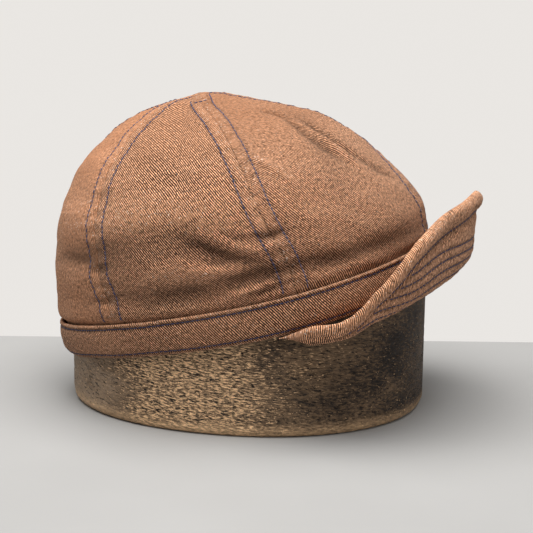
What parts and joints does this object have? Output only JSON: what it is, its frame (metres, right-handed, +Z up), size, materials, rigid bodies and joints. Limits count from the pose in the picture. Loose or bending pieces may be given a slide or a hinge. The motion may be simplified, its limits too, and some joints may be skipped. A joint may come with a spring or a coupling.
{
  "type": "denim cap on a wooden hat block",
  "caption": "Soft denim cap with a folded band and a short turned-up brim, tilted back on a plain oval wooden hat block.",
  "frame": {"origin": "middle of the flat base of the hat block", "axes": "+X towards the brim, +Y towards the cap's left side, +Z up"},
  "size_m": [0.235, 0.1833, 0.1686],
  "materials": {
    "denim": "matte brown twill with a lighter slanting weave",
    "band_denim": "matte brown twill, darker than the crown",
    "block_wood": "old dark wood, worn, scratched and flecked"
  },
  "bodies": {
    "root": {"crown_panel_front_right": "denim", "crown_panel_side_right": "denim", "crown_panel_back_right": "denim", "crown_panel_back_left": "denim", "crown_panel_side_left": "denim", "crown_panel_front_left": "denim", "band": "band_denim", "brim": "band_denim", "hat_block": "block_wood"}
  },
  "joints": []
}
